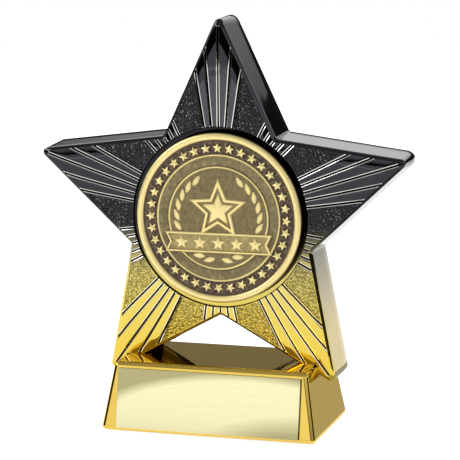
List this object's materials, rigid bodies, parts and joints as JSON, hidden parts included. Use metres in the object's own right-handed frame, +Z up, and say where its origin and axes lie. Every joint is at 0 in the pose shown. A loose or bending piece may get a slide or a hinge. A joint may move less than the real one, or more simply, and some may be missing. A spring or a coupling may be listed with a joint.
{
  "type": "star trophy",
  "caption": "Freestanding star trophy: hollow five-pointed star with rays and a round centre medallion, standing over a weighted tapered base with a blank engraving plate.",
  "frame": {"origin": "centre of the underside, on the surface that the trophy stands on", "axes": "+Z up, -Y towards the viewer (the medallion and the engraving plate face -Y), +X to the viewer's right"},
  "size_m": [0.1104, 0.0382, 0.1205],
  "materials": {
    "star_plating": "mirror plated plastic, black at the top fading to gold at the feet",
    "gold_plating": "mirror gold plated plastic",
    "antique_gold": "antique gold, dark in its recesses",
    "plate_metal": "fine brushed pale gold",
    "back_plastic": "fine moulded texture",
    "screw_steel": "zinc plated",
    "weight_steel": "mill finish",
    "adhesive_foam": "double-sided foam tape",
    "felt": "short black felt"
  },
  "bodies": {
    "root": {"star_shell": "star_plating", "star_back_cover": "back_plastic", "star_cover_screws": "screw_steel", "medallion": "antique_gold", "medallion_adhesive": "adhesive_foam", "base_housing": "gold_plating", "base_bottom_plate": "back_plastic", "bottom_plate_screws": "screw_steel", "base_weight": "weight_steel", "weight_screws": "screw_steel", "star_fixing_screws": "screw_steel", "star_fixing_washers": "screw_steel", "engraving_plate": "plate_metal", "engraving_plate_tape": "adhesive_foam", "felt_pad": "felt"}
  },
  "joints": []
}
